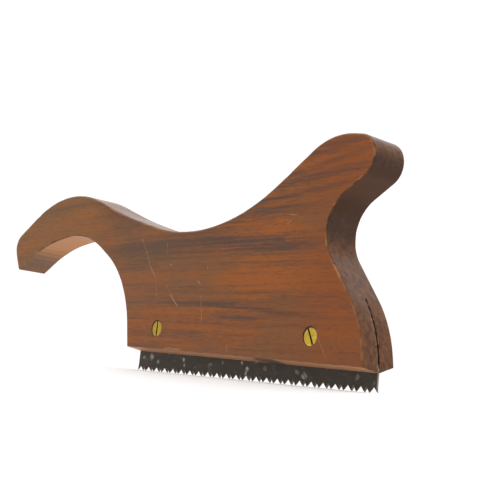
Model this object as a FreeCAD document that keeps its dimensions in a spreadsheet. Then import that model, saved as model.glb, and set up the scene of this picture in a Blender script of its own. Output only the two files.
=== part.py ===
import FreeCAD, Part

# A shop-made stair saw (also called a trenching or grooving saw): one hardwood board sawn to shape
# as both handles, a strip of crosscut saw plate set in a kerf along its sole, and two slotted brass
# wood screws that pinch the cheeks of the kerf on to the plate. With the screws slackened the plate
# slides up into the kerf, which sets the depth of cut.
#
# Millimetres. +X runs along the plate from toe to heel, +Z is up, and the cheek with the screw
# heads faces -Y. The origin is under the middle of the length, on the line of the tooth points.
# Each body is drawn from the toe end of the sole or of the tooth line, and placed afterwards.

import math
import os

import Sketcher
from FreeCAD import Placement, Rotation, Vector

# alias, millimetres or degrees, what it is
SIZES = [
    ("board_thickness", 18.25, "the board, face to face"),
    ("sole_length", 160.0, "toe corner to heel corner of the sole"),
    ("arris_radius", 1.0, "rounding round the board's outline"),
    ("near_bevel_angle", 9.0, "near half of the sole, up from level"),
    ("far_bevel_angle", 18.0, "far half of the sole, up from level"),
    ("kerf_width", 1.0, "saw kerf that takes the plate"),
    ("kerf_depth", 28.5, "kerf, up from the sole"),
    ("toe_exposure", 9.5, "sole above the tooth points, at the toe"),
    ("heel_exposure", 7.5, "sole above the tooth points, at the heel"),
    ("plate_thickness", 0.9, "saw plate"),
    ("plate_height", 25.4, "saw plate, tooth points to top edge"),
    ("plate_end_height", 9.0, "upright part of the plate's heel end"),
    ("plate_clip", 8.5, "length clipped off the plate's top heel corner"),
    ("tooth_pitch", 3.4, "tooth point to tooth point"),
    ("tooth_depth", 2.4, "gullet, up from the tooth points"),
    ("gullet_half_width", 1.85, "gullet, at the tooth points, on its middle plane"),
    ("gullet_margin", 1.6, "first gullet's middle, from the plate's toe end"),
    ("wide_gullets", 24, "gullets filed one way"),
    ("fleam_angle", 24.0, "file's swing off square"),
    ("depth_travel", 5.5, "how far the plate slides up"),
    ("slot_clearance", 0.2, "plate slot to screw, each side"),
    ("toe_screw_x", 24.2, "toe screw, from the plate's toe end"),
    ("toe_screw_z", 20.4, "toe screw, above the tooth points"),
    ("heel_screw_x", 130.2, "heel screw, from the plate's toe end"),
    ("heel_screw_z", 19.6, "heel screw, above the tooth points"),
    ("screw_length", 16.0, "head face to point"),
    ("head_diameter", 7.3, "countersunk head"),
    ("head_rim", 0.25, "straight edge of the head"),
    ("head_angle", 82.0, "countersink, whole angle"),
    ("head_sink", 0.1, "head face below the cheek"),
    ("shank_diameter", 3.5, "screw shank and thread crest"),
    ("core_diameter", 2.5, "thread root"),
    ("point_length", 2.6, "screw's tapered point"),
    ("point_diameter", 0.5, "screw's blunt end"),
    ("thread_pitch", 1.4, "ring to ring"),
    ("thread_start", 6.4, "first thread groove below the head face"),
    ("thread_grooves", 6, "thread grooves on the straight shank"),
    ("groove_half_width", 0.6, "thread groove, at the thread crest"),
    ("slot_width", 1.0, "screwdriver slot"),
    ("slot_depth", 1.1, "screwdriver slot"),
    ("toe_slot_turn", 0.0, "toe screw's slot, off upright"),
    ("heel_slot_turn", 27.0, "heel screw's slot, off upright"),
    ("clearance_diameter", 3.7, "screw hole through the near cheek"),
    ("pilot_diameter", 2.6, "screw hole in the far cheek"),
    ("pilot_depth", 16.3, "bottom of the pilot hole, from the near cheek's face"),
]

# The rounds of the board's outline, anticlockwise from the heel end of the sole. A straight or
# nearly straight stretch joins each to the next. name, turn (1 outside curve, -1 inside curve),
# centre along the sole, centre above the sole, radius.
ROUNDS = [
    ("flank", 1, 109.0, -2.0, 50.5),
    ("waist", -1, 150.5, 55.0, 17.5),
    ("nose", 1, 146.0, 84.0, 9.5),
    ("crest", 1, 138.0, 61.5, 33.0),
    ("saddle", -1, 39.5, 172.5, 114.0),
    ("saddle_toe", -1, 64.0, 337.0, 279.5),
    ("hook_back", 1, -74.0, -1.5, 85.5),
    ("hook_nose", 1, -129.0, 56.0, 8.5),
    ("hook_corner", 1, -129.5, 43.5, 1.5),
    ("arch_outer", -1, -67.5, -51.5, 111.5),
    ("arch_top", -1, -67.5, 0.5, 60.0),
    ("arch_inner", -1, -57.5, -0.5, 56.0),
]

PAST = 1.0  # how far a cut runs past the wood or metal that it opens
SKIM = 0.1  # how far a thread groove runs past the thread crest
SLANT_REACH = 4  # length of a slanting cut through the plate, in plate thicknesses
TOUCHING = 1e-6  # closer than this is the same place
LEAST_CUT = 0.01  # cubic millimetres that a cut takes away at the least
TILT = "asin((Sizes.toe_exposure - Sizes.heel_exposure) / Sizes.sole_length)"
ORIGIN_POINT = (-1, 1)  # a sketch's own origin, as a constraint names it
START, END, CENTRE = 1, 2, 3


def fill_sheet(document):
    sheet = document.addObject("Spreadsheet::Sheet", "Sizes")
    rows = list(SIZES)
    for name, turn, x, z, radius in ROUNDS:
        rows.append((name + "_x", x, "centre along the sole"))
        rows.append((name + "_z", z, "centre above the sole"))
        rows.append((name + "_radius", radius, "radius"))
    for row, (alias, value, note) in enumerate(rows, start=1):
        sheet.set("A%d" % row, alias)
        sheet.set("B%d" % row, str(value))
        sheet.set("C%d" % row, note)
        sheet.setAlias("B%d" % row, alias)
    document.recompute()
    return sheet


def origin_part(body, role):
    return next(item for item in body.Origin.OriginFeatures if item.Role == role)


def new_sketch(body, name, role, offset=None):
    sketch = body.newObject("Sketcher::SketchObject", name)
    sketch.AttachmentSupport = (origin_part(body, role), [""])
    sketch.MapMode = "FlatFace"
    if offset:
        sketch.setExpression("AttachmentOffset.Base.z", offset)
    return sketch


def bind(sketch, kind, places, value, formula):
    """One driving dimension of a sketch, bound to the sheet."""
    index = sketch.addConstraint(Sketcher.Constraint(kind, *places, value))
    sketch.setExpression("Constraints[%d]" % index, formula)


def place_point(sketch, geometry, point, x, z, x_formula, z_formula):
    bind(sketch, "DistanceX", (*ORIGIN_POINT, geometry, point), x, x_formula)
    bind(sketch, "DistanceY", (*ORIGIN_POINT, geometry, point), z, z_formula)


def add_polygon(sketch, corners):
    """A closed run of lines. Each corner is (x, y, formula for x, formula for y)."""
    count = len(corners)
    first = None
    for i in range(count):
        here = corners[i]
        there = corners[(i + 1) % count]
        line = Part.LineSegment(Vector(here[0], here[1], 0), Vector(there[0], there[1], 0))
        index = sketch.addGeometry(line, False)
        if first is None:
            first = index
    for i in range(count):
        following = first + (i + 1) % count
        sketch.addConstraint(Sketcher.Constraint("Coincident", first + i, END, following, START))
        place_point(sketch, first + i, START, *corners[i])


def feature(body, kind, name, **settings):
    made = body.newObject("PartDesign::" + kind, name)
    for key, value in settings.items():
        setattr(made, key, value)
    return made


def cuts_something(body, cut):
    """Recomputes, and stops if a cut took nothing away."""
    before = cut.BaseFeature.Shape.Volume
    body.Document.recompute()
    if cut.Shape.isNull() or cut.Shape.Volume > before - LEAST_CUT:
        raise RuntimeError(cut.Name + " cuts nothing")


# ---------------------------------------------------------------- the wooden stock


def tangent_line(here, there):
    """The straight from one round to the next: start, end and direction angle.

    A round is (turn, x, z, radius). A corner of the sole is a round of radius 0.
    """
    reach = there[0] * there[3] - here[0] * here[3]
    span = math.hypot(there[1] - here[1], there[2] - here[2])
    length = math.sqrt(span * span - reach * reach)
    angle = math.atan2(there[2] - here[2], there[1] - here[1]) - math.atan2(reach, length)
    left = Vector(-math.sin(angle), math.cos(angle), 0)
    start = Vector(here[1], here[2], 0) - left * (here[0] * here[3])
    end = Vector(there[1], there[2], 0) - left * (there[0] * there[3])
    return start, end, angle


def draw_outline(sketch, sheet):
    """The board's outline: rounds joined by straights that touch them, closed by the sole."""
    heel = (1, sheet.sole_length, 0.0, 0.0)
    toe = (1, 0.0, 0.0, 0.0)
    rounds = [(turn, x, z, radius) for name, turn, x, z, radius in ROUNDS]
    stops = [heel] + rounds + [toe]
    straights = [tangent_line(stops[i], stops[i + 1]) for i in range(len(stops) - 1)]
    line_ids = []
    for start, end, angle in straights:
        line_ids.append(sketch.addGeometry(Part.LineSegment(start, end), False))
    arc_ids = []
    for i, (turn, x, z, radius) in enumerate(rounds):
        arrive = straights[i][2] - turn * math.pi / 2
        leave = straights[i + 1][2] - turn * math.pi / 2
        if turn > 0:
            angles = (arrive, leave)
        else:
            angles = (leave, arrive)
        circle = Part.Circle(Vector(x, z, 0), Vector(0, 0, 1), radius)
        arc_ids.append(sketch.addGeometry(Part.ArcOfCircle(circle, *angles), False))
    sole = Part.LineSegment(Vector(0, 0, 0), Vector(sheet.sole_length, 0, 0))
    sole_id = sketch.addGeometry(sole, False)

    sketch.addConstraint(Sketcher.Constraint("Coincident", sole_id, START, *ORIGIN_POINT))
    sketch.addConstraint(Sketcher.Constraint("Horizontal", sole_id))
    bind(sketch, "DistanceX", (sole_id, START, sole_id, END), sheet.sole_length, "Sizes.sole_length")
    sketch.addConstraint(Sketcher.Constraint("Coincident", sole_id, END, line_ids[0], START))
    sketch.addConstraint(Sketcher.Constraint("Coincident", sole_id, START, line_ids[-1], END))
    for i, (name, turn, x, z, radius) in enumerate(ROUNDS):
        arc = arc_ids[i]
        first, last = (START, END) if turn > 0 else (END, START)
        sketch.addConstraint(Sketcher.Constraint("Tangent", line_ids[i], END, arc, first))
        sketch.addConstraint(Sketcher.Constraint("Tangent", line_ids[i + 1], START, arc, last))
        place_point(sketch, arc, CENTRE, x, z, "Sizes.%s_x" % name, "Sizes.%s_z" % name)
        bind(sketch, "Radius", (arc,), radius, "Sizes.%s_radius" % name)


def outline_arrises(pad, half_thickness):
    """The pad's edges round both faces, without the two along the sole."""
    names = []
    for number, edge in enumerate(pad.Shape.Edges, start=1):
        box = edge.BoundBox
        on_face = box.YLength < TOUCHING and abs(abs(box.YMin) - half_thickness) < TOUCHING
        on_sole = max(abs(box.ZMin), abs(box.ZMax)) < TOUCHING
        if on_face and not on_sole:
            names.append("Edge%d" % number)
    return names


def sole_frame(sheet):
    """Where the stock's own axes lie: its sole drops slightly from toe to heel."""
    drop = sheet.toe_exposure - sheet.heel_exposure
    tilt = math.degrees(math.asin(drop / sheet.sole_length))
    return Placement(Vector(0, 0, sheet.toe_exposure), Rotation(Vector(0, 1, 0), tilt))


def pad_board(document, body, sheet):
    """The board with its outline's arrises rounded on both faces."""
    outline = new_sketch(body, "Outline", "XZ_Plane")
    draw_outline(outline, sheet)
    board = feature(body, "Pad", "Board", Profile=outline, SideType="Symmetric")
    board.setExpression("Length", "Sizes.board_thickness")
    document.recompute()
    rounding = feature(body, "Fillet", "Arrises")
    rounding.Base = (board, outline_arrises(board, sheet.board_thickness / 2))
    rounding.setExpression("Radius", "Sizes.arris_radius")
    document.recompute()


def bevel_sole(body, sheet):
    """The sole slopes up from its middle line to both cheeks, more steeply to the far one."""
    half = sheet.board_thickness / 2 + PAST
    near_rise = half * math.tan(math.radians(sheet.near_bevel_angle))
    far_rise = half * math.tan(math.radians(sheet.far_bevel_angle))
    half_formula = "Sizes.board_thickness / 2 + %g" % PAST
    near_formula = "(%s) * tan(Sizes.near_bevel_angle * 1deg)" % half_formula
    far_formula = "(%s) * tan(Sizes.far_bevel_angle * 1deg)" % half_formula
    under_sole = new_sketch(body, "UnderSole", "YZ_Plane")
    add_polygon(
        under_sole,
        [
            (0, 0, "0", "0"),
            (-half, near_rise, "-(%s)" % half_formula, near_formula),
            (-half, -PAST, "-(%s)" % half_formula, "-%g" % PAST),
            (half, -PAST, half_formula, "-%g" % PAST),
            (half, far_rise, half_formula, far_formula),
        ],
    )
    bevels = feature(body, "Pocket", "SoleBevels", Profile=under_sole, Type="ThroughAll")
    bevels.Midplane = True
    cuts_something(body, bevels)


def saw_kerf(body, sheet):
    """The kerf that takes the plate, along the whole sole."""
    section = new_sketch(body, "KerfSection", "YZ_Plane")
    width = sheet.kerf_width / 2
    add_polygon(
        section,
        [
            (-width, -PAST, "-Sizes.kerf_width / 2", "-%g" % PAST),
            (width, -PAST, "Sizes.kerf_width / 2", "-%g" % PAST),
            (width, sheet.kerf_depth, "Sizes.kerf_width / 2", "Sizes.kerf_depth"),
            (-width, sheet.kerf_depth, "-Sizes.kerf_width / 2", "Sizes.kerf_depth"),
        ],
    )
    kerf = feature(body, "Pocket", "Kerf", Profile=section, Type="ThroughAll")
    kerf.Midplane = True
    cuts_something(body, kerf)


def drill_screw_holes(document, body, sheet):
    """Pilot holes into the far cheek, then countersunk clearance holes through the near one."""
    marks = new_sketch(body, "ScrewMarks", "XZ_Plane", "Sizes.board_thickness / 2")
    to_sole = sole_frame(sheet).inverse()
    for end in ("toe", "heel"):
        spot = to_sole.multVec(Vector(sheet.get(end + "_screw_x"), 0, sheet.get(end + "_screw_z")))
        circle = Part.Circle(Vector(spot.x, spot.z, 0), Vector(0, 0, 1), sheet.core_diameter / 2)
        index = marks.addGeometry(circle, False)
        along = "Sizes.%s_screw_x" % end
        above = "(Sizes.%s_screw_z - Sizes.toe_exposure)" % end
        x_formula = "%s * cos(%s) - %s * sin(%s)" % (along, TILT, above, TILT)
        z_formula = "%s * sin(%s) + %s * cos(%s)" % (along, TILT, above, TILT)
        place_point(marks, index, CENTRE, spot.x, spot.z, x_formula, z_formula)
        bind(marks, "Radius", (index,), sheet.core_diameter / 2, "Sizes.core_diameter / 2")
    document.recompute()

    pilot = feature(body, "Hole", "PilotHoles", Profile=marks, DepthType="Dimension")
    pilot.DrillPoint = "Flat"
    pilot.setExpression("Diameter", "Sizes.pilot_diameter")
    pilot.setExpression("Depth", "Sizes.pilot_depth")
    cuts_something(body, pilot)

    clearance = feature(body, "Hole", "ClearanceHoles", Profile=marks, DepthType="Dimension")
    clearance.DrillPoint = "Flat"
    clearance.setExpression("Diameter", "Sizes.clearance_diameter")
    clearance.setExpression("Depth", "Sizes.board_thickness / 2")
    clearance.HoleCutType = "Countersink"
    clearance.setExpression("HoleCutDiameter", "Sizes.head_diameter + 2 * Sizes.head_sink")
    clearance.setExpression("HoleCutCountersinkAngle", "Sizes.head_angle")
    cuts_something(body, clearance)


def make_stock(document, sheet):
    body = document.addObject("PartDesign::Body", "Stock")
    body.Label = "stock"
    pad_board(document, body, sheet)
    bevel_sole(body, sheet)
    saw_kerf(body, sheet)
    drill_screw_holes(document, body, sheet)
    body.Placement = sole_frame(sheet)
    return body


# ---------------------------------------------------------------- the saw plate


def add_slot(sketch, x, low, high, radius, formulas):
    """An upright slot with round ends. formulas: x, low centre, high centre, radius."""
    normal = Vector(0, 0, 1)
    top = Part.ArcOfCircle(Part.Circle(Vector(x, high, 0), normal, radius), 0, math.pi)
    bottom = Part.ArcOfCircle(Part.Circle(Vector(x, low, 0), normal, radius), math.pi, 2 * math.pi)
    left = Part.LineSegment(Vector(x - radius, high, 0), Vector(x - radius, low, 0))
    right = Part.LineSegment(Vector(x + radius, low, 0), Vector(x + radius, high, 0))
    ids = [sketch.addGeometry(item, False) for item in (top, left, bottom, right)]
    for i in range(4):
        joint = Sketcher.Constraint("Tangent", ids[i], END, ids[(i + 1) % 4], START)
        sketch.addConstraint(joint)
    place_point(sketch, ids[0], CENTRE, x, high, formulas[0], formulas[2])
    place_point(sketch, ids[2], CENTRE, x, low, formulas[0], formulas[1])
    bind(sketch, "Radius", (ids[0],), radius, formulas[3])
    bind(sketch, "Radius", (ids[2],), radius, formulas[3])


def file_gullets(body, sheet, name, along, along_formula, swing, count_formula):
    """One slanting gullet through the plate, repeated every second gullet."""
    foot = sheet.gullet_half_width * (1 + PAST / sheet.tooth_depth)
    foot_formula = "Sizes.gullet_half_width * (1 + %g / Sizes.tooth_depth)" % PAST
    left_formula = "%s - %s" % (along_formula, foot_formula)
    right_formula = "%s + %s" % (along_formula, foot_formula)
    section = new_sketch(body, name + "Section", "XZ_Plane")
    add_polygon(
        section,
        [
            (along, sheet.tooth_depth, along_formula, "Sizes.tooth_depth"),
            (along - foot, -PAST, left_formula, "-%g" % PAST),
            (along + foot, -PAST, right_formula, "-%g" % PAST),
        ],
    )
    swing = math.radians(swing)
    gullet = feature(body, "Pocket", name, Profile=section, SideType="Symmetric")
    gullet.UseCustomVector = True
    gullet.Direction = Vector(math.sin(swing), math.cos(swing), 0)
    gullet.setExpression("Length", "Sizes.plate_thickness * %g" % SLANT_REACH)
    cuts_something(body, gullet)
    row = feature(body, "LinearPattern", name + "Row", Originals=[gullet])
    row.Direction = (origin_part(body, "X_Axis"), [""])
    row.Mode = "Spacing"
    row.setExpression("Offset", "Sizes.tooth_pitch * 2")
    row.setExpression("Occurrences", count_formula)
    body.Tip = row
    body.Document.recompute()


def make_plate(document, sheet):
    body = document.addObject("PartDesign::Body", "SawPlate")
    body.Label = "saw_plate"
    length = 2 * sheet.gullet_margin + 2 * (sheet.wide_gullets - 1) * sheet.tooth_pitch
    length_formula = "2 * Sizes.gullet_margin + 2 * (Sizes.wide_gullets - 1) * Sizes.tooth_pitch"

    outline = new_sketch(body, "PlateOutline", "XZ_Plane")
    clip = length - sheet.plate_clip
    clip_formula = length_formula + " - Sizes.plate_clip"
    add_polygon(
        outline,
        [
            (0, 0, "0", "0"),
            (length, 0, length_formula, "0"),
            (length, sheet.plate_end_height, length_formula, "Sizes.plate_end_height"),
            (clip, sheet.plate_height, clip_formula, "Sizes.plate_height"),
            (0, sheet.plate_height, "0", "Sizes.plate_height"),
        ],
    )
    strip = feature(body, "Pad", "Strip", Profile=outline, SideType="Symmetric")
    strip.setExpression("Length", "Sizes.plate_thickness")
    document.recompute()

    slots = new_sketch(body, "ScrewSlots", "XZ_Plane")
    radius = sheet.shank_diameter / 2 + sheet.slot_clearance
    radius_formula = "Sizes.shank_diameter / 2 + Sizes.slot_clearance"
    for end in ("toe", "heel"):
        x = sheet.get(end + "_screw_x")
        high = sheet.get(end + "_screw_z")
        low = high - sheet.depth_travel
        x_formula = "Sizes.%s_screw_x" % end
        high_formula = "Sizes.%s_screw_z" % end
        low_formula = high_formula + " - Sizes.depth_travel"
        formulas = (x_formula, low_formula, high_formula, radius_formula)
        add_slot(slots, x, low, high, radius, formulas)
    cut = feature(body, "Pocket", "SlotCut", Profile=slots, Type="ThroughAll")
    cut.Midplane = True
    cuts_something(body, cut)

    margin = sheet.gullet_margin
    pitch = sheet.tooth_pitch
    first = "Sizes.gullet_margin"
    second = "(Sizes.gullet_margin + Sizes.tooth_pitch)"
    wide = "Sizes.wide_gullets"
    narrow = "Sizes.wide_gullets - 1"
    swing = sheet.fleam_angle
    file_gullets(body, sheet, "WideGullet", margin, first, -swing, wide)
    file_gullets(body, sheet, "NarrowGullet", margin + pitch, second, swing, narrow)
    return body


# ---------------------------------------------------------------- the screws


def make_screw(document, sheet, end):
    """A slotted countersunk wood screw, drawn point down with its head face at z = 0."""
    body = document.addObject("PartDesign::Body", end.capitalize() + "Screw")
    body.Label = end + "_screw"
    head = sheet.head_diameter / 2
    shank = sheet.shank_diameter / 2
    tip = sheet.point_diameter / 2
    cone = (head - shank) / math.tan(math.radians(sheet.head_angle / 2))
    cone_formula = "(Sizes.head_diameter - Sizes.shank_diameter) / 2 / tan(Sizes.head_angle * 0.5deg)"
    shoulder = -sheet.head_rim - cone
    shoulder_formula = "-Sizes.head_rim - %s" % cone_formula
    taper = sheet.point_length - sheet.screw_length

    profile = new_sketch(body, end + "_profile", "XZ_Plane")
    add_polygon(
        profile,
        [
            (0, 0, "0", "0"),
            (0, -sheet.screw_length, "0", "-Sizes.screw_length"),
            (tip, -sheet.screw_length, "Sizes.point_diameter / 2", "-Sizes.screw_length"),
            (shank, taper, "Sizes.shank_diameter / 2", "Sizes.point_length - Sizes.screw_length"),
            (shank, shoulder, "Sizes.shank_diameter / 2", shoulder_formula),
            (head, -sheet.head_rim, "Sizes.head_diameter / 2", "-Sizes.head_rim"),
            (head, 0, "Sizes.head_diameter / 2", "0"),
        ],
    )
    turned = feature(body, "Revolution", end + "_turned", Profile=profile)
    turned.ReferenceAxis = (profile, ["V_Axis"])
    turned.Angle = 360
    document.recompute()

    driver = new_sketch(body, end + "_driver_slot", "XY_Plane")
    wide = sheet.slot_width / 2
    reach = head + PAST
    wide_formula = "Sizes.slot_width / 2"
    reach_formula = "(Sizes.head_diameter / 2 + %g)" % PAST
    add_polygon(
        driver,
        [
            (-wide, -reach, "-" + wide_formula, "-" + reach_formula),
            (wide, -reach, wide_formula, "-" + reach_formula),
            (wide, reach, wide_formula, reach_formula),
            (-wide, reach, "-" + wide_formula, reach_formula),
        ],
    )
    slot = feature(body, "Pocket", end + "_slot", Profile=driver, Type="Length")
    slot.setExpression("Length", "Sizes.slot_depth")
    cuts_something(body, slot)

    root = new_sketch(body, end + "_thread_root", "XZ_Plane")
    crest = shank + SKIM
    start = -sheet.thread_start
    half_groove = sheet.groove_half_width
    crest_formula = "Sizes.shank_diameter / 2 + %g" % SKIM
    below_formula = "-Sizes.thread_start - Sizes.groove_half_width"
    above_formula = "-Sizes.thread_start + Sizes.groove_half_width"
    add_polygon(
        root,
        [
            (sheet.core_diameter / 2, start, "Sizes.core_diameter / 2", "-Sizes.thread_start"),
            (crest, start - half_groove, crest_formula, below_formula),
            (crest, start + half_groove, crest_formula, above_formula),
        ],
    )
    groove = feature(body, "Groove", end + "_groove", Profile=root)
    groove.ReferenceAxis = (root, ["V_Axis"])
    groove.Angle = 360
    cuts_something(body, groove)
    thread = feature(body, "LinearPattern", end + "_thread", Originals=[groove])
    thread.Direction = (origin_part(body, "Z_Axis"), [""])
    thread.Reversed = True
    thread.Mode = "Spacing"
    thread.setExpression("Offset", "Sizes.thread_pitch")
    thread.setExpression("Occurrences", "Sizes.thread_grooves")
    body.Tip = thread
    document.recompute()

    face = -sheet.board_thickness / 2 + sheet.head_sink
    spot = Vector(sheet.get(end + "_screw_x"), face, sheet.get(end + "_screw_z"))
    into_wood = Rotation(Vector(1, 0, 0), 90)
    driven = Rotation(Vector(0, 0, 1), sheet.get(end + "_slot_turn"))
    body.Placement = Placement(spot, into_wood.multiply(driven))
    return body


# ---------------------------------------------------------------- the whole saw


def check(document, bodies):
    for item in document.Objects:
        if "Invalid" in item.State or "Error" in item.State:
            raise RuntimeError("%s: %s" % (item.Name, item.State))
    for body in bodies:
        if body.Shape.isNull() or not body.Shape.isValid() or len(body.Shape.Solids) != 1:
            raise RuntimeError(body.Label + " is not one sound solid")


def main():
    document = FreeCAD.newDocument("StairSaw")
    sheet = fill_sheet(document)
    bodies = [
        make_stock(document, sheet),
        make_plate(document, sheet),
        make_screw(document, sheet, "toe"),
        make_screw(document, sheet, "heel"),
    ]
    document.recompute()

    # The origin goes under the middle of the whole length.
    length_box = bodies[0].Shape.optimalBoundingBox(False, False)
    to_middle = Vector(-(length_box.XMin + length_box.XMax) / 2, 0, 0)
    for body in bodies:
        body.Placement = Placement(to_middle, Rotation()).multiply(body.Placement)
    document.recompute()
    check(document, bodies)

    os.makedirs("parts", exist_ok=True)
    for body in bodies:
        box = body.Shape.optimalBoundingBox(False, False)
        body.Shape.exportStep("parts/%s.step" % body.Label)
        print(
            "%-11s volume %8.1f  x %.2f..%.2f  y %.2f..%.2f  z %.2f..%.2f"
            % (body.Label, body.Shape.Volume, box.XMin, box.XMax, box.YMin, box.YMax, box.ZMin, box.ZMax)
        )


main()
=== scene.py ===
"""A shop-made stair saw on a plain white floor: hardwood stock, saw plate, two brass wood screws.

Everything is in metres in the frame of the CAD model. +X runs along the plate from toe to heel,
+Z is up and the cheek with the screw heads faces -Y. Materials work in millimetres.
"""

import math

import bmesh
import bpy
from mathutils import Matrix, Vector, noise


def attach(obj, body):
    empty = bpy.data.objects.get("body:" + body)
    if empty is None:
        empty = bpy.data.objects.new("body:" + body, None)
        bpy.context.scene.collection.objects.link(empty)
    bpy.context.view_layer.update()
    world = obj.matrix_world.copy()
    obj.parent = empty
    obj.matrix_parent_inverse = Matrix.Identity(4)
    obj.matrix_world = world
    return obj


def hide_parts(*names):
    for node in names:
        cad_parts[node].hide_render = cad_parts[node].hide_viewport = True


MM = 0.001

BOARD = 18.25  # millimetres, face to face
SCREWS = [(12.61, 20.4), (118.61, 19.6)]  # x and z of each screw's middle, in millimetres
TOOTH_PITCH = 3.4
TOOTH_DEPTH = 2.4
TOOTH_SET = 0.28  # how far a tooth point leans out of the plate
FIRST_GULLET = -9.99  # x of the first gullet's middle

# Chips out of the near corner of the sole: x of the middle, half length, depth in millimetres.
CHIPS = [(90.5, 8.5, 0.55), (24.0, 4.0, 0.4), (52.0, 3.0, 0.3), (126.0, 4.5, 0.3)]
CHIP_REACH = 2.2

# The sole: its height on the middle line at x = 0, its fall along x, the slopes of its two bevels.
SOLE_HEIGHT = 9.36
SOLE_FALL = 0.0125
NEAR_BEVEL = 0.158
FAR_BEVEL = 0.325

# Wear of the board in millimetres: all over, along the arrises, and in nicks in the arrises.
BODY_WEAR = 0.07
ARRIS_WEAR = 0.08
NICK_DEPTH = 0.45
CUT_PITCH = 1.6  # the board's faces are cut this fine, so that wear shows in its shape

# The camera, in the frame of the saw, which leans back from it a little.
CAMERA_PLACE = (0.38991, -0.27334, -0.00208)
CAMERA_AZIMUTH = 50.57
CAMERA_ELEVATION = -8.65
CAMERA_ROLL = 6.06
CAMERA_LENS = 70.94

FLOOR_FALL = 8.5  # degrees that the floor drops towards the camera, from the line of the teeth
FLOOR_REACH = 6.0
FLOOR_BEND = 0.012  # the drop starts over this distance

# The white room that lights the saw: its strength before and behind the saw, and as the camera sees it.
ROOM_FRONT = 0.36
ROOM_BACK = 1.2
BACKDROP = 1.05


# ---------------------------------------------------------------- node helpers


class Graph:
    """The nodes of one material. Each method adds a node and gives its output socket."""

    def __init__(self, name):
        self.material = bpy.data.materials.new(name)
        self.material.use_nodes = True
        self.tree = self.material.node_tree
        self.tree.nodes.clear()

    def add(self, kind, inputs=(), output=0, **settings):
        """A node of the kind. Inputs are sockets to link, or values to set."""
        made = self.tree.nodes.new("ShaderNode" + kind)
        for key, value in settings.items():
            setattr(made, key, value)
        for name, value in dict(inputs).items():
            if isinstance(value, bpy.types.NodeSocket):
                self.tree.links.new(value, made.inputs[name])
            elif value is not None:
                made.inputs[name].default_value = value
        return made.outputs[output] if made.outputs else None

    def math(self, operation, a, b=None, c=None, clamp=False):
        return self.add("Math", {0: a, 1: b, 2: c}, operation=operation, use_clamp=clamp)

    def vector(self, operation, a, b=None, output=0, scale=None):
        inputs = {0: a, 1: b}
        if scale is not None:
            inputs["Scale"] = scale
        return self.add("VectorMath", inputs, output, operation=operation)

    def amount_off(self, value, middle):
        """How far a value is from a middle one, either way."""
        return self.math("ABSOLUTE", self.math("SUBTRACT", value, middle))

    def place_mm(self):
        """Where the surface is, in millimetres, in the frame of the saw."""
        return self.vector("SCALE", self.add("TexCoord", output="Object"), scale=1 / MM)

    def normal(self):
        return self.add("TexCoord", output="Normal")

    def split(self, vector):
        """The x, y and z sockets of a vector."""
        node = self.tree.nodes.new("ShaderNodeSeparateXYZ")
        self.tree.links.new(vector, node.inputs[0])
        return node.outputs

    def stretch(self, vector, x, y, z):
        """Coordinates in units of x, y and z millimetres, for texture that long, deep and high."""
        return self.vector("MULTIPLY", vector, (1 / x, 1 / y, 1 / z))

    def noise(self, vector, detail=2.0, roughness=0.5):
        inputs = {"Vector": vector, "Scale": 1.0, "Detail": detail, "Roughness": roughness}
        return self.add("TexNoise", inputs)

    def step(self, value, low, high, out_low=0.0, out_high=1.0):
        """A smooth step from out_low to out_high as value goes from low to high."""
        inputs = {0: value, 1: low, 2: high, 3: out_low, 4: out_high}
        return self.add("MapRange", inputs, interpolation_type="SMOOTHSTEP")

    def mix(self, factor, a, b):
        """Colour a where the factor is 0, colour b where it is 1."""
        node = self.tree.nodes.new("ShaderNodeMix")
        node.data_type = "RGBA"
        for index, value in ((0, factor), (6, a), (7, b)):
            if isinstance(value, bpy.types.NodeSocket):
                self.tree.links.new(value, node.inputs[index])
            else:
                node.inputs[index].default_value = (*value, 1.0)
        return node.outputs[2]

    def toward(self, colour, where, share, other):
        """Takes a colour a share of the way to another one, where the map is 1."""
        return self.mix(self.math("MULTIPLY", where, share), colour, other)

    def curve(self, value, stops):
        """A smooth line through (position, height) stops, positions and heights from 0 to 1."""
        node = self.tree.nodes.new("ShaderNodeValToRGB")
        node.color_ramp.interpolation = "B_SPLINE"
        elements = node.color_ramp.elements
        while len(elements) < len(stops):
            elements.new(1.0)
        for element, (position, height) in zip(elements, stops):
            element.position = position
            element.color = (height, height, height, 1.0)
        self.tree.links.new(value, node.inputs[0])
        return node.outputs[0]

    def bump(self, height, distance_mm, strength=1.0, normal=None):
        inputs = {"Height": height, "Distance": distance_mm * MM, "Strength": strength}
        if normal is not None:
            inputs["Normal"] = normal
        return self.add("Bump", inputs)

    def finish(self, inputs):
        """Ends in one Principled shader with these inputs, and gives the material."""
        shader = self.add("BsdfPrincipled", inputs)
        self.add("OutputMaterial", {"Surface": shader})
        return self.material


# ---------------------------------------------------------------- the wood

# Heights of the dark and light figure in the board, in millimetres above the teeth, at the middle
# of the board: (height, darkness from 0 to 1).
FIGURE = [
    (0, 0.35),
    (8, 0.30),
    (16, 0.24),
    (21, 0.34),
    (25, 0.42),
    (28, 0.36),
    (30.2, 0.50),
    (31.2, 0.86),
    (32.2, 0.48),
    (36, 0.44),
    (41, 0.30),
    (46, 0.22),
    (51, 0.28),
    (54.5, 0.66),
    (58, 0.78),
    (61, 0.62),
    (63.5, 0.18),
    (66.5, 0.14),
    (69.5, 0.40),
    (72, 0.62),
    (75, 0.50),
    (77.5, 0.58),
    (80, 0.30),
    (83.5, 0.42),
    (85.5, 0.70),
    (87, 0.36),
    (90, 0.30),
    (95, 0.48),
    (98, 0.62),
    (103, 0.40),
]
FIGURE_TOP = 104.0

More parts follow.
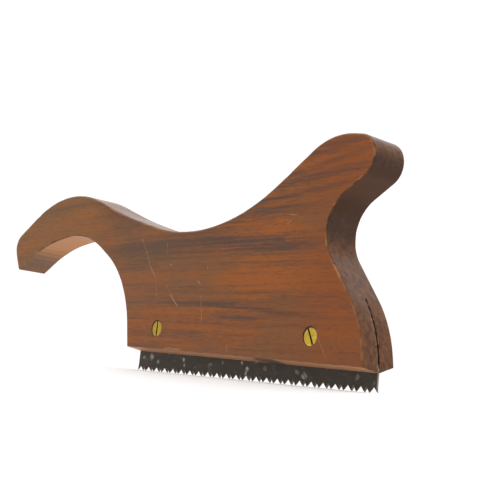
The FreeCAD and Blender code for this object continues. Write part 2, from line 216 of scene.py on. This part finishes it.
# Single streaks of the figure, seen from the side: (x, z) of each end in millimetres, half width,
# darkness. They run through the whole thickness of the board. A negative darkness is a light streak.
STREAKS = [
    ((-114.0, 87.5), (-58.0, 88.6), 1.1, 0.75),
    ((-60.0, 88.5), (-40.0, 82.0), 2.6, 0.55),
    ((-40.0, 82.0), (-8.0, 73.0), 3.0, 0.55),
    ((-100.0, 75.5), (-62.0, 76.0), 2.2, 0.35),
    ((-140.0, 72.0), (-118.0, 76.0), 1.4, 0.35),
    ((-38.0, 74.0), (-20.0, 69.5), 3.0, 0.45),
    ((-28.0, 62.0), (22.0, 60.5), 5.5, 0.75),
    ((-24.0, 52.5), (4.0, 53.0), 3.0, 0.45),
    ((10.0, 62.0), (64.0, 61.0), 4.2, 0.70),
    ((58.0, 60.5), (118.0, 55.5), 3.6, 0.60),
    ((34.0, 69.5), (66.0, 70.5), 3.4, 0.60),
    ((66.0, 72.0), (116.0, 73.0), 2.8, 0.50),
    ((84.0, 65.5), (122.0, 66.0), 2.6, -0.50),
    ((70.0, 76.5), (136.0, 81.5), 1.4, 0.85),
    ((82.0, 83.0), (144.0, 88.0), 1.5, 0.85),
    ((90.0, 87.5), (142.0, 93.5), 1.3, 0.75),
    ((100.0, 95.5), (140.0, 99.0), 2.4, 0.60),
    ((12.0, 32.5), (66.0, 32.8), 1.2, 0.90),
    ((34.0, 32.8), (112.0, 29.0), 1.1, 0.95),
    ((104.0, 37.0), (146.0, 36.0), 1.2, 0.45),
    ((-8.0, 17.0), (70.0, 17.5), 1.0, 0.35),
    ((50.0, 50.5), (140.0, 49.0), 1.1, 0.45),
    ((90.0, 28.5), (128.0, 29.5), 1.0, 0.35),
    ((-2.0, 36.5), (26.0, 36.0), 2.2, 0.40),
    ((56.0, 26.0), (92.0, 25.5), 1.2, 0.50),
    ((40.0, 44.5), (110.0, 43.0), 3.0, -0.30),
    ((98.0, 21.0), (136.0, 19.0), 2.4, -0.35),
]

# Scratches on the near cheek: (x, z) of each end in millimetres, half width, strength.
SCRATCHES = [
    ((-9.5, 66.0), (-4.5, 59.5), 0.45, 0.5),
    ((-4.5, 59.5), (1.0, 51.0), 0.45, 0.6),
    ((1.0, 51.0), (6.0, 46.0), 0.5, 0.6),
    ((6.0, 46.0), (9.5, 35.0), 0.5, 0.4),
    ((17.0, 41.0), (21.0, 36.5), 0.3, 0.7),
    ((21.0, 36.5), (27.0, 31.5), 0.4, 1.0),
    ((44.5, 37.0), (46.0, 30.0), 0.35, 0.6),
    ((46.0, 30.0), (47.5, 22.0), 0.35, 0.5),
    ((122.0, 20.5), (128.0, 12.0), 0.3, 0.5),
    ((98.0, 70.8), (104.5, 70.0), 0.25, 0.8),
    ((98.5, 66.5), (101.0, 67.8), 0.3, 0.7),
    ((13.0, 62.5), (14.5, 57.0), 0.3, 0.5),
    ((40.0, 43.8), (43.0, 42.0), 0.35, 0.7),
    ((67.0, 16.0), (67.3, 10.0), 0.3, 0.5),
    ((17.0, 51.8), (19.0, 51.2), 0.4, 0.8),
    ((21.0, 11.3), (33.0, 11.1), 0.55, 1.0),
    ((46.8, 49.8), (47.4, 49.2), 0.4, 0.8),
]


def distance_to_line(graph, place, start, end):
    """Distance in millimetres from a place to the line between two points."""
    start = Vector(start)
    along = Vector(end) - start
    from_start = graph.vector("SUBTRACT", place, start)
    share = graph.vector("DOT_PRODUCT", from_start, along / along.length_squared, "Value")
    share = graph.math("ADD", share, 0.0, clamp=True)
    nearest = graph.vector("SCALE", tuple(along), scale=share)
    return graph.vector("DISTANCE", from_start, nearest, "Value")


def scratch_marks(graph, place):
    """How scratched the near cheek is, from 0 to 1."""
    wobble = graph.noise(graph.stretch(place, 2.0, 5.0, 2.0))
    broken = graph.step(graph.noise(graph.stretch(place, 0.9, 5.0, 1.3)), 0.35, 0.6)
    total = None
    for (x0, z0), (x1, z1), half_width, strength in SCRATCHES:
        face = -BOARD / 2
        distance = distance_to_line(graph, place, (x0, face, z0), (x1, face, z1))
        wide = graph.math("MULTIPLY_ADD", wobble, half_width * 1.4, half_width * 0.3)
        mark = graph.step(graph.math("DIVIDE", distance, wide), 0.5, 1.0, strength, 0.0)
        total = mark if total is None else graph.math("MAXIMUM", total, mark)
    return graph.math("MULTIPLY", total, broken)


def figure_streaks(graph, place):
    """Darkness of the single streaks of the figure, each soft and tapered."""
    x, y, z = graph.split(place)
    bend = graph.noise(graph.stretch(place, 60.0, 20.0, 16.0), detail=2.0)
    bent = graph.math("MULTIPLY_ADD", graph.math("SUBTRACT", bend, 0.5), 3.6, z)
    total = None
    for (x0, z0), (x1, z1), half_width, darkness in STREAKS:
        share = graph.math("MULTIPLY_ADD", x, 1 / (x1 - x0), -x0 / (x1 - x0))
        above = graph.math("SUBTRACT", bent, graph.math("MULTIPLY_ADD", share, z1 - z0, z0))
        off_line = graph.math("ABSOLUTE", above)
        taper = graph.step(graph.amount_off(share, 0.5), 0.15, 0.75, 1.0, 0.0)
        streak = graph.step(off_line, 0.0, half_width * 1.7, darkness, 0.0)
        streak = graph.math("MULTIPLY", streak, taper)
        total = streak if total is None else graph.math("ADD", total, streak)
    lines = graph.noise(graph.stretch(place, 55.0, 5.0, 0.8), detail=2.0, roughness=0.5)
    return graph.math("MULTIPLY", total, graph.step(lines, 0.30, 0.66, 0.40, 1.20))


def board_figure(graph, place):
    """Darkness of the figure, which follows the height in the board, bent by slow waves."""
    x, y, z = graph.split(place)
    slow = graph.noise(graph.stretch(place, 75.0, 30.0, 34.0), detail=1.0)
    waves = graph.noise(graph.stretch(place, 50.0, 16.0, 11.0), detail=2.0)
    height = graph.math("MULTIPLY_ADD", slow, 5.0, z)
    height = graph.math("MULTIPLY_ADD", waves, 2.6, height)
    height = graph.math("SUBTRACT", height, 3.8)
    across = graph.math("MULTIPLY", graph.math("MULTIPLY", y, y), 0.02)
    height = graph.math("SUBTRACT", height, across)
    stops = [(stop / FIGURE_TOP, darkness) for stop, darkness in FIGURE]
    figure = graph.curve(graph.math("DIVIDE", height, FIGURE_TOP), stops)
    return graph.math("MULTIPLY_ADD", figure, 0.55, figure_streaks(graph, place))


def long_grain(graph, place, fibres, pores):
    """Colour of the wood along the grain. It is yellower in the hook and redder at the heel."""
    x, y, z = graph.split(place)
    streaks = graph.noise(graph.stretch(place, 62.0, 2.5, 1.4), detail=3.0, roughness=0.55)
    dark = board_figure(graph, place)
    dark = graph.math("MULTIPLY_ADD", graph.math("SUBTRACT", streaks, 0.5), 2.0, dark)
    dark = graph.math("MULTIPLY_ADD", graph.math("SUBTRACT", fibres, 0.5), 2.3, dark, clamp=True)
    tint = graph.noise(graph.stretch(place, 60.0, 12.0, 16.0), detail=2.0)
    tint = graph.step(tint, 0.4, 0.6)
    light_wood = graph.mix(tint, (0.268, 0.078, 0.013), (0.196, 0.076, 0.025))
    dark_wood = graph.mix(tint, (0.084, 0.046, 0.032), (0.112, 0.044, 0.020))
    colour = graph.mix(dark, light_wood, dark_wood)
    in_hook = graph.step(x, -70.0, -40.0, 1.0, 0.0)
    colour = graph.toward(colour, in_hook, 0.30, (0.200, 0.105, 0.030))
    dusky = graph.math("MULTIPLY", graph.step(x, 10.0, 60.0, 1.0, 0.0), graph.step(z, 24.0, 36.0))
    dusky = graph.math("MULTIPLY", dusky, graph.step(x, -50.0, -20.0))
    colour = graph.toward(colour, dusky, 0.32, (0.120, 0.072, 0.040))
    at_heel = graph.step(x, 90.0, 130.0)
    colour = graph.toward(colour, at_heel, 0.45, (0.190, 0.046, 0.009))
    return graph.toward(colour, pores, 0.65, (0.030, 0.015, 0.009))


def end_grain(graph, place):
    """Colour of the end grain, which has drunk more oil, with painted shade on what faces down in the
    waist.
    """
    x, y, z = graph.split(place)
    normal_x, normal_y, normal_z = graph.split(graph.normal())
    mottle = graph.noise(graph.stretch(place, 6.0, 2.2, 2.6), detail=4.0, roughness=0.65)
    mottle = graph.step(mottle, 0.3, 0.7)
    colour = graph.mix(mottle, (0.040, 0.011, 0.002), (0.150, 0.052, 0.008))
    facing_down = graph.step(normal_z, -0.1, 0.4, 1.0, 0.0)
    # Painted shade: the downward faces in the waist are darkened towards black.
    waist_underside_shade = graph.math("MULTIPLY", graph.step(z, 36.0, 56.0), facing_down)
    return graph.toward(colour, waist_underside_shade, 0.75, (0.011, 0.005, 0.003))


def sole_colour(graph, place, colour):
    """The sole is made pale, partly rubbed wear and partly painted highlight, with one dark stain on
    its near half.
    """
    normal_x, normal_y, normal_z = graph.split(graph.normal())
    sole = graph.step(normal_z, -0.9, -0.97)
    # Partly wear, partly painted highlight: lightens the faces that look down.
    colour = graph.toward(colour, sole, 0.65, (0.56, 0.25, 0.10))
    off_stain = graph.vector("SUBTRACT", place, (90.5, -5.0, 8.5))
    off_stain = graph.vector("MULTIPLY", off_stain, (1 / 8.0, 1 / 7.0, 0.0))
    off_stain = graph.vector("LENGTH", off_stain, output="Value")
    ragged = graph.noise(graph.stretch(place, 6.0, 2.0, 2.0), detail=3.0)
    stain = graph.step(graph.math("ADD", off_stain, ragged), 1.2, 1.7, 1.0, 0.0)
    return graph.toward(colour, graph.math("MULTIPLY", stain, sole), 0.85, (0.040, 0.010, 0.006))


def arris_wear_and_highlight(graph, place, colour):
    """Arrises are lighter, with gaps: partly rubbed wear, partly painted highlight."""
    normal_x, normal_y, normal_z = graph.split(graph.normal())
    side = graph.math("ABSOLUTE", normal_y)
    off_faces = graph.step(side, 0.93, 0.995, 1.0, 0.0)
    on_arris = graph.math("MULTIPLY", graph.step(side, 0.25, 0.6), off_faces)
    rubbed = graph.step(graph.noise(graph.stretch(place, 9.0, 3.0, 5.0), detail=4.0), 0.42, 0.68)
    arris = graph.math("MULTIPLY", on_arris, rubbed)
    # Partly wear, partly painted highlight along the arrises.
    return graph.toward(colour, arris, 0.5, (0.38, 0.18, 0.065))


def painted_gap_shade(graph, place, colour):
    """Paints shade: a shadow round the edge of each screw's seat, most at its upper toe side, and shade
    on the walls of the kerf.
    """
    for screw_x, screw_z in SCREWS:
        seat = (screw_x - 0.35, -BOARD / 2, screw_z + 0.3)
        from_seat = graph.vector("DISTANCE", place, seat, "Value")
        seat_shadow = graph.step(from_seat, 3.75, 4.15, 0.9, 0.0)
        # Painted shadow round the screw seat, offset to its upper toe side.
        colour = graph.mix(seat_shadow, colour, (0.014, 0.007, 0.004))
    x, y, z = graph.split(place)
    normal_x, normal_y, normal_z = graph.split(graph.normal())
    near_middle = graph.step(graph.math("ABSOLUTE", y), 0.7, 1.6, 1.0, 0.0)
    wall = graph.step(graph.math("ABSOLUTE", normal_y), 0.5, 0.9)
    # Painted shade on the walls of the kerf.
    return graph.mix(graph.math("MULTIPLY", near_middle, wall), colour, (0.012, 0.008, 0.006))


def wood_bump(graph, place, fibres, pores, marks):
    """Grain, the slight waves of hand work, and the scratches."""
    grain = graph.bump(graph.math("MULTIPLY_ADD", pores, -1.0, fibres), 0.05, 0.6)
    hand_work = graph.noise(graph.stretch(place, 16.0, 10.0, 11.0))
    hand_bump = graph.bump(hand_work, 0.5, 0.35, grain)
    return graph.bump(graph.math("MULTIPLY", marks, -1.0), 0.08, 0.7, hand_bump)


def wood_material():
    graph = Graph("oiled_hardwood")
    place = graph.place_mm()
    x, y, z = graph.split(place)
    normal_x, normal_y, normal_z = graph.split(graph.normal())
    fibres = graph.noise(graph.stretch(place, 7.0, 0.6, 0.40), detail=3.0, roughness=0.62)
    pores = graph.step(graph.noise(graph.stretch(place, 3.0, 0.24, 0.24), detail=1.0), 0.62, 0.74)
    marks = scratch_marks(graph, place)

    # The downward faces under the hook get painted shade in their colour, and are made rougher.
    shaded_hook_underside = graph.math("MULTIPLY", graph.step(z, 45.0, 55.0), graph.step(normal_z, -0.2, -0.6))
    shaded_hook_underside = graph.math("MULTIPLY", shaded_hook_underside, graph.step(x, -130.0, -112.0))

    colour = long_grain(graph, place, fibres, pores)
    on_end = graph.step(graph.math("ABSOLUTE", normal_x), 0.25, 0.75)
    colour = graph.toward(colour, on_end, 0.88, end_grain(graph, place))
    # Painted shade: darkens the downward faces under the hook.
    colour = graph.toward(colour, shaded_hook_underside, 0.80, (0.058, 0.026, 0.012))
    colour = sole_colour(graph, place, colour)
    colour = arris_wear_and_highlight(graph, place, colour)
    colour = graph.toward(colour, marks, 0.6, (0.48, 0.27, 0.14))
    colour = painted_gap_shade(graph, place, colour)

    # Hands have polished what faces up.
    rough = graph.math("MULTIPLY_ADD", graph.noise(graph.stretch(place, 20.0, 9.0, 9.0)), 0.22, 0.34)
    rough = graph.math("MULTIPLY_ADD", fibres, 0.10, rough)
    rough = graph.math("MULTIPLY_ADD", graph.step(normal_z, 0.3, 0.8), -0.17, rough)
    rough = graph.math("MULTIPLY_ADD", shaded_hook_underside, 0.30, rough)
    rough = graph.math("MULTIPLY_ADD", marks, 0.15, rough, clamp=True)

    return graph.finish(
        {
            "Base Color": colour,
            "Roughness": rough,
            "Normal": wood_bump(graph, place, fibres, pores, marks),
            "Specular IOR Level": 0.24,
            "Sheen Weight": 0.12,
            "Sheen Roughness": 0.35,
        }
    )


# ---------------------------------------------------------------- the metals


# Spots on the near face of the plate where the dark skin is rubbed off: x, z, radius, strength.
RUBBED = [
    (-7.5, 6.5, 1.8, 0.6),
    (-1.0, 7.0, 3.0, 0.8),
    (5.0, 4.8, 2.0, 0.5),
    (25.5, 6.8, 1.6, 0.9),
    (26.4, 4.2, 1.5, 0.8),
    (55.0, 7.0, 1.5, 0.4),
    (68.5, 7.4, 1.5, 0.9),
    (72.2, 5.0, 1.9, 1.0),
    (71.5, 2.8, 1.5, 0.8),
    (84.0, 6.0, 2.0, 0.4),
    (104.0, 5.6, 2.2, 0.5),
    (108.5, 4.2, 2.8, 0.6),
    (138.0, 5.5, 2.0, 0.4),
]


def rubbed_spots(graph, place):
    """How far the skin is rubbed off, from 0 to 1."""
    ragged = graph.noise(graph.stretch(place, 1.3, 2.0, 1.0), detail=4.0, roughness=0.7)
    ragged = graph.math("MULTIPLY", ragged, 1.9)
    total = None
    for x, z, radius, strength in RUBBED:
        offset = graph.vector("SUBTRACT", place, (x, 0.0, z))
        offset = graph.vector("MULTIPLY", offset, (1 / radius, 0.0, 1 / radius))
        near = graph.vector("LENGTH", offset, output="Value")
        mark = graph.step(graph.math("ADD", near, ragged), 1.25, 1.6, strength, 0.0)
        total = mark if total is None else graph.math("MAXIMUM", total, mark)
    return total


def steel_material():
    """Saw plate with a dark skin, rust clouds, rubbed spots, and brighter filed flanks of the teeth."""
    graph = Graph("dark_saw_steel")
    place = graph.place_mm()
    cloud = graph.noise(graph.stretch(place, 6.0, 3.0, 4.0), detail=5.0, roughness=0.6)
    speckle = graph.noise(graph.stretch(place, 0.9, 0.9, 0.9), detail=4.0, roughness=0.7)
    patina = graph.mix(cloud, (0.028, 0.022, 0.016), (0.088, 0.073, 0.057))
    rust = graph.step(graph.noise(graph.stretch(place, 4.0, 2.0, 2.2), detail=5.0), 0.60, 0.72)
    colour = graph.toward(patina, rust, 0.6, (0.085, 0.030, 0.014))

    patches = graph.noise(graph.stretch(place, 5.5, 3.0, 3.4), detail=4.0, roughness=0.62)
    spots = graph.math("MULTIPLY", graph.step(patches, 0.58, 0.72), 0.35)
    spots = graph.math("MAXIMUM", spots, rubbed_spots(graph, place))
    spots = graph.math("MULTIPLY", spots, graph.step(speckle, 0.30, 0.62))
    colour = graph.mix(spots, colour, (0.62, 0.59, 0.52))

    normal_x, normal_y, normal_z = graph.split(graph.normal())
    filed = graph.step(graph.math("ABSOLUTE", normal_y), 0.75, 0.9, 1.0, 0.0)
    colour = graph.toward(colour, filed, 0.7, (0.36, 0.29, 0.20))
    return graph.finish(
        {
            "Base Color": colour,
            "Roughness": graph.math("MULTIPLY_ADD", cloud, 0.25, 0.38),
            "Metallic": graph.math("MULTIPLY_ADD", graph.math("MAXIMUM", spots, filed), 0.4, 0.35),
            "Normal": graph.bump(speckle, 0.03, 0.6),
        }
    )


def brass_material():
    """Worn brass with tarnish, painted darker at the toe as shade, with painted shade in the driver
    slots.
    """
    graph = Graph("worn_brass")
    place = graph.place_mm()
    x, y, z = graph.split(place)
    cloud = graph.noise(graph.stretch(place, 1.6, 1.6, 1.6), detail=4.0)
    fine = graph.noise(graph.stretch(place, 0.2, 1.0, 1.4), detail=3.0)
    colour = graph.mix(cloud, (0.86, 0.53, 0.055), (1.0, 0.76, 0.13))
    tarnish = graph.step(graph.noise(graph.stretch(place, 0.8, 0.8, 0.8), detail=5.0), 0.52, 0.7)
    # Painted shade: the toe screw is darkened; the noise tarnish is the brass's own.
    toe_shade = graph.step(x, 40.0, 90.0, 0.22, 0.0)
    tarnish_and_toe_shade = graph.math("ADD", toe_shade, graph.math("MULTIPLY", tarnish, 0.4))
    colour = graph.mix(tarnish_and_toe_shade, colour, (0.20, 0.12, 0.03))
    # Painted shade in the driver slots.
    slot_shade = graph.step(y, -8.95, -8.4)
    colour = graph.mix(slot_shade, colour, (0.02, 0.014, 0.008))
    return graph.finish(
        {
            "Base Color": colour,
            "Roughness": graph.math("MULTIPLY_ADD", fine, 0.2, 0.30),
            "Metallic": 1.0,
            "Normal": graph.bump(fine, 0.02, 0.5),
        }
    )


def dress(thing, material):
    """Gives a thing one material in place of those it has."""
    thing.data.materials.clear()
    thing.data.materials.append(material)


# ---------------------------------------------------------------- finer shapes


def open_mesh(node):
    """A CAD node's surface to work on, in millimetres: joined up, and flat faces whole again."""
    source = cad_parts[node]
    mesh = bmesh.new()
    mesh.from_mesh(source.data)
    mesh.transform(source.matrix_world)
    bmesh.ops.scale(mesh, vec=(1 / MM, 1 / MM, 1 / MM), verts=mesh.verts)
    bmesh.ops.remove_doubles(mesh, verts=mesh.verts, dist=0.001)
    flat = math.radians(0.3)
    bmesh.ops.dissolve_limit(mesh, angle_limit=flat, verts=mesh.verts, edges=mesh.edges)
    return mesh


def close_mesh(mesh, name, node, body, slot, sharp):
    """Makes a piece of the finished mesh, to show in place of the CAD node.

    slot names its finish, and an edge that turns by more than sharp degrees stays crisp.
    """
    bmesh.ops.triangulate(mesh, faces=[face for face in mesh.faces if len(face.verts) > 4])
    bmesh.ops.scale(mesh, vec=(MM, MM, MM), verts=mesh.verts)
    data = bpy.data.meshes.new(name)
    mesh.to_mesh(data)
    mesh.free()
    data.shade_smooth()
    data.set_sharp_from_angle(angle=math.radians(sharp))
    piece = bpy.data.objects.new(name, data)
    bpy.context.scene.collection.objects.link(piece)
    piece.modifiers.new("even_shading", "WEIGHTED_NORMAL").keep_sharp = True
    dress(piece, finishes[slot])
    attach(piece, body)
    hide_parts(node)


def soften(mesh, edges, width, segments):
    """Rounds sharp edges a little."""
    bmesh.ops.bevel(
        mesh,
        geom=edges,
        offset=width,
        offset_type="OFFSET",
        segments=segments,
        profile=0.5,
        affect="EDGES",
    )


def slice_faces(mesh, axis, places):
    """Cuts the faces, but not the shape, with a plane at each place along an axis."""
    normal = Vector((0.0, 0.0, 0.0))
    normal[axis] = 1.0
    for place in places:
        everything = mesh.verts[:] + mesh.edges[:] + mesh.faces[:]
        bmesh.ops.bisect_plane(
            mesh, geom=everything, dist=0.01, plane_co=normal * place, plane_no=normal
        )


def spaced(low, high, step):
    """Places from low to high, about a step apart."""
    count = round((high - low) / step)
    return [low + (high - low) * i / count for i in range(count + 1)]


def sole_height(x, y):
    """Height of the sole, which slopes up from its middle line to each cheek."""
    rise = FAR_BEVEL * y if y > 0 else -NEAR_BEVEL * y
    return SOLE_HEIGHT - SOLE_FALL * x + rise


def is_sole_edge(edge):
    """True for the sharp edges round the sole, but not for those of the kerf."""
    middle = (edge.verts[0].co + edge.verts[1].co) / 2
    low = middle.z < sole_height(middle.x, middle.y) + 0.2
    sharp = edge.calc_face_angle(0.0) > math.radians(40)
    return low and sharp and abs(middle.y) > 1.0


def off_screws(x, z):
    """0 at the screw holes, 1 well away from them."""
    nearest = min(math.hypot(x - screw_x, z - screw_z) for screw_x, screw_z in SCREWS)
    return min(max((nearest - 4.5) / 4.0, 0.0), 1.0)


def handled(place, normal):
    """How far hands and tools have worn the wood in, in millimetres. The arrises wear most."""
    x, y, z = place
    slow = 0.5 + 0.5 * noise.noise(Vector((x / 31, y / 12, z / 23)))
    arris = max(0.0, 1 - abs(abs(normal.y) - 0.7) / 0.45)
    nicks = max(0.0, noise.noise(Vector((x / 5.5 + 7, y / 5, z / 5.5))) - 0.1)
    return BODY_WEAR * slow + arris * (ARRIS_WEAR * slow + NICK_DEPTH * nicks)


def chipped(place):
    """How far the near corner of the sole is broken away, in millimetres."""
    x, y, z = place
    from_corner = math.hypot(y + BOARD / 2, z - sole_height(x, -BOARD / 2)) / CHIP_REACH
    depth = 0.0
    for middle, half_length, size in CHIPS:
        depth = max(depth, size * (1 - ((x - middle) / half_length) ** 2))
    return depth * max(0.0, 1 - from_corner)


def make_stock():
    """The board, worn, with its sole's sharp edges softened and its near corner chipped."""
    mesh = open_mesh("stock")
    soften(mesh, [edge for edge in mesh.edges if is_sole_edge(edge)], 0.3, 2)
    slice_faces(mesh, 0, spaced(-148, 148, CUT_PITCH))
    slice_faces(mesh, 2, spaced(9, 101, CUT_PITCH))
    slice_faces(mesh, 1, [-8, -6.5, -5, -3.5, -2, 2, 3.5, 5, 6.5, 8])
    mesh.normal_update()
    moves = []
    for vert in mesh.verts:
        x, y, z = vert.co
        if abs(y) > 1.2:  # the kerf stays as it is
            depth = handled(vert.co, vert.normal) * off_screws(x, z) + chipped(vert.co)
            moves.append((vert, vert.normal * -depth))
    for vert, move in moves:
        vert.co += move
    close_mesh(mesh, "stock_body", "stock", "handle", "stock_wood", 40)


def make_plate():
    """The saw plate, its teeth set: bent over to the near side and the far side by turns."""
    mesh = open_mesh("saw_plate")
    slice_faces(mesh, 2, [TOOTH_DEPTH / 2, TOOTH_DEPTH, 5.0, 8.0])
    for vert in mesh.verts:
        below = max(0.0, 1 - vert.co.z / TOOTH_DEPTH)
        tooth = math.ceil((vert.co.x - FIRST_GULLET) / TOOTH_PITCH)
        side = -1 if tooth % 2 == 0 else 1
        vert.co.y += side * TOOTH_SET * below
    close_mesh(mesh, "plate_blade", "saw_plate", "plate", "plate_steel", 20)


def make_screw(node):
    """A screw with the sharp edges of its head and of its driver slot turned down."""
    mesh = open_mesh(node)
    face = min(vert.co.y for vert in mesh.verts)
    on_face = [
        edge
        for edge in mesh.edges
        if all(vert.co.y < face + 0.01 for vert in edge.verts)
        and edge.calc_face_angle(0.0) > math.radians(30)
    ]
    soften(mesh, on_face, 0.07, 2)
    close_mesh(mesh, node + "_turned", node, "handle", "screw_brass", 35)


# ---------------------------------------------------------------- the stage


def floor_material():
    """White paper, see-through from underneath so that the saw can be looked at from below."""
    graph = Graph("white_floor")
    place = graph.place_mm()
    tone = graph.noise(graph.stretch(place, 40.0, 40.0, 40.0), detail=3.0)
    colour = graph.mix(tone, (0.90, 0.90, 0.90), (0.92, 0.92, 0.92))
    paper = graph.add("BsdfPrincipled", {"Base Color": colour, "Roughness": 0.85})
    clear = graph.add("BsdfTransparent")
    under = graph.add("NewGeometry", output="Backfacing")
    both = graph.add("MixShader", {0: under, 1: paper, 2: clear})
    graph.add("OutputMaterial", {"Surface": both})
    return graph.material


def make_floor():
    """A sheet that lies level behind the teeth and falls away towards the camera."""
    fall = math.tan(math.radians(FLOOR_FALL))
    bend_rows = [-FLOOR_BEND * share for share in (1.0, 0.75, 0.5, 0.25)]
    rows = [-FLOOR_REACH, *bend_rows, 0.0, FLOOR_REACH]
    mesh = bpy.data.meshes.new("floor")
    points = []
    for y in rows:
        drop = 0.0
        if y < 0:
            eased = min(-y, FLOOR_BEND)
            drop = fall * (eased * eased / (2 * FLOOR_BEND) + max(-y - FLOOR_BEND, 0.0))
        for x in (-FLOOR_REACH, FLOOR_REACH):
            points.append((x, y, -drop))
    faces = [(2 * i, 2 * i + 1, 2 * i + 3, 2 * i + 2) for i in range(len(rows) - 1)]
    mesh.from_pydata(points, [], faces)
    mesh.shade_smooth()
    floor = bpy.data.objects.new("floor", mesh)
    bpy.context.scene.collection.objects.link(floor)
    dress(floor, floor_material())


def make_camera():
    """The camera, low at the heel end, at the photograph's angle."""
    data = bpy.data.cameras.new("camera")
    data.lens = CAMERA_LENS
    data.clip_start = 0.01
    data.clip_end = 50.0
    camera = bpy.data.objects.new("camera", data)
    turn = Matrix.Rotation(math.radians(CAMERA_AZIMUTH), 4, "Z")
    tip = Matrix.Rotation(math.radians(90 - CAMERA_ELEVATION), 4, "X")
    roll = Matrix.Rotation(math.radians(CAMERA_ROLL), 4, "Z")
    camera.matrix_world = Matrix.Translation(CAMERA_PLACE) @ turn @ tip @ roll
    bpy.context.scene.collection.objects.link(camera)
    bpy.context.scene.camera = camera


def add_softbox(name, place, aim, size, watts):
    """A rectangular light of a size in metres, turned to face a point."""
    data = bpy.data.lights.new(name, "AREA")
    data.shape = "RECTANGLE"
    data.size, data.size_y = size
    data.energy = watts
    light = bpy.data.objects.new(name, data)
    light.location = place
    light.rotation_euler = (Vector(aim) - Vector(place)).to_track_quat("-Z", "Y").to_euler()
    bpy.context.scene.collection.objects.link(light)


def make_room():
    """A white world, stronger behind the saw than before it. The camera sees it as plain white."""
    world = bpy.data.worlds.new("white_studio")
    bpy.context.scene.world = world
    world.use_nodes = True
    tree = world.node_tree
    tree.nodes.clear()
    link = tree.links.new
    direction = tree.nodes.new("ShaderNodeTexCoord")
    parts = tree.nodes.new("ShaderNodeSeparateXYZ")
    link(direction.outputs["Generated"], parts.inputs[0])
    level = tree.nodes.new("ShaderNodeMapRange")
    link(parts.outputs[1], level.inputs[0])
    for index, value in enumerate((-0.5, 0.6, ROOM_FRONT, ROOM_BACK), start=1):
        level.inputs[index].default_value = value
    room = tree.nodes.new("ShaderNodeBackground")
    link(level.outputs[0], room.inputs["Strength"])
    backdrop = tree.nodes.new("ShaderNodeBackground")
    backdrop.inputs["Strength"].default_value = BACKDROP
    for background in (room, backdrop):
        background.inputs["Color"].default_value = (1.0, 1.0, 1.0, 1.0)
    ray = tree.nodes.new("ShaderNodeLightPath")
    both = tree.nodes.new("ShaderNodeMixShader")
    link(ray.outputs["Is Camera Ray"], both.inputs[0])
    link(room.outputs[0], both.inputs[1])
    link(backdrop.outputs[0], both.inputs[2])
    out = tree.nodes.new("ShaderNodeOutputWorld")
    link(both.outputs[0], out.inputs["Surface"])


def light_stage():
    middle = (0.0, 0.0, 0.05)
    add_softbox("overhead", (0.05, -0.25, 1.1), middle, (1.6, 1.2), 9.5)
    add_softbox("front", (0.25, -1.1, 0.75), middle, (0.9, 0.7), 5.6)
    make_room()
    bpy.context.scene.view_settings.view_transform = "Standard"


# ---------------------------------------------------------------- the scene

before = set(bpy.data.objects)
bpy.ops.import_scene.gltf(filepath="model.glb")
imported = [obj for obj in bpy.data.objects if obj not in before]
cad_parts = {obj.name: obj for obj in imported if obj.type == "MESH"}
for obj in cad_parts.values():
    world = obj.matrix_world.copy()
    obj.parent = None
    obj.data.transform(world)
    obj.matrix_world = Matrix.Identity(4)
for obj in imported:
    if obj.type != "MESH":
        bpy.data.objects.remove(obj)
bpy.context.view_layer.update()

finishes = {
    "stock_wood": wood_material(),
    "plate_steel": steel_material(),
    "screw_brass": brass_material(),
}
make_stock()
make_plate()
make_screw("toe_screw")
make_screw("heel_screw")

make_camera()
make_floor()
light_stage()
